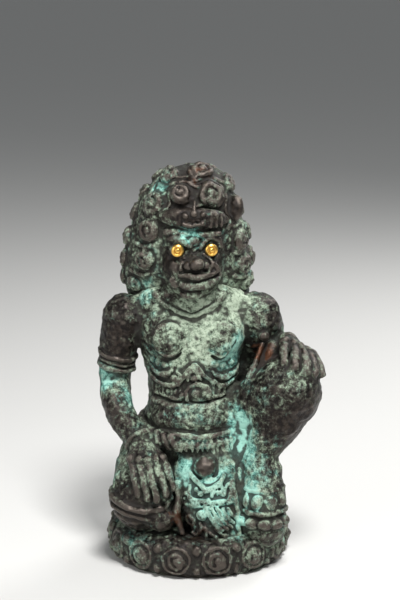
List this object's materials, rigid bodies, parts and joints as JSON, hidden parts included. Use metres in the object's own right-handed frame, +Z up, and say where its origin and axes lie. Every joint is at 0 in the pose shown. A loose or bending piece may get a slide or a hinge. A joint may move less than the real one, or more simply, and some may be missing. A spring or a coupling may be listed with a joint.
{
  "type": "bronze guardian figure",
  "caption": "Small bronze guardian figure half kneeling on a round base ringed with rosettes, with ringed curls, inlaid gold eyes, and one hand on each knee.",
  "frame": {"origin": "centre of the round base's underside", "axes": "+Z up, the figure faces -Y, and its right hand is on the -X side"},
  "size_m": [0.0677, 0.057, 0.1201],
  "materials": {
    "bronze": "corroded bronze, dark brown on the high parts and green to turquoise in the hollows",
    "gold": "polished gold inlay"
  },
  "bodies": {
    "root": {"cast_bronze_figure": "bronze", "gold_eye_right": "gold", "gold_eye_left": "gold"}
  },
  "joints": []
}
